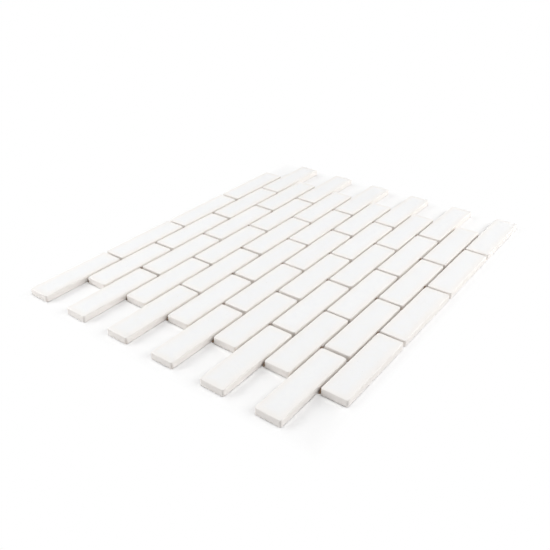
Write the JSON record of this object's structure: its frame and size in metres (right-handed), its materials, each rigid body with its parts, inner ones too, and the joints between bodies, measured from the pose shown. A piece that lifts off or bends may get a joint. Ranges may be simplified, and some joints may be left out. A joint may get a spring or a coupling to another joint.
{
  "type": "brick mosaic tile",
  "caption": "Flat sheet of small ceramic bricks in running bond on a fibre net, with staggered ends that lock into the next sheet on a wall or floor.",
  "frame": {"origin": "under the middle of the sheet, level with the underside of the net", "axes": "+X along the bricks, +Y across the rows towards the first row, +Z out of the bricks' faces"},
  "size_m": [0.3359, 0.2622, 0.0055],
  "materials": {
    "brick": "matt white face over a pale cream body",
    "net": "white coated glass-fibre net"
  },
  "bodies": {
    "root": {"brick_row01_1": "brick", "brick_row01_2": "brick", "brick_row01_3": "brick", "brick_row01_4": "brick", "brick_row02_1": "brick", "brick_row02_2": "brick", "brick_row02_3": "brick", "brick_row02_4": "brick", "brick_row03_1": "brick", "brick_row03_2": "brick", "brick_row03_3": "brick", "brick_row03_4": "brick", "brick_row04_1": "brick", "brick_row04_2": "brick", "brick_row04_3": "brick", "brick_row04_4": "brick", "brick_row05_1": "brick", "brick_row05_2": "brick", "brick_row05_3": "brick", "brick_row05_4": "brick", "brick_row06_1": "brick", "brick_row06_2": "brick", "brick_row06_3": "brick", "brick_row06_4": "brick", "brick_row07_1": "brick", "brick_row07_2": "brick", "brick_row07_3": "brick", "brick_row07_4": "brick", "brick_row08_1": "brick", "brick_row08_2": "brick", "brick_row08_3": "brick", "brick_row08_4": "brick", "brick_row09_1": "brick", "brick_row09_2": "brick", "brick_row09_3": "brick", "brick_row09_4": "brick", "brick_row10_1": "brick", "brick_row10_2": "brick", "brick_row10_3": "brick", "brick_row10_4": "brick", "brick_row11_1": "brick", "brick_row11_2": "brick", "brick_row11_3": "brick", "brick_row11_4": "brick", "brick_row12_1": "brick", "brick_row12_2": "brick", "brick_row12_3": "brick", "brick_row12_4": "brick", "net_rows_01_02": "net", "net_rows_03_04": "net", "net_rows_05_06": "net", "net_rows_07_08": "net", "net_rows_09_10": "net", "net_rows_11_12": "net"}
  },
  "joints": []
}
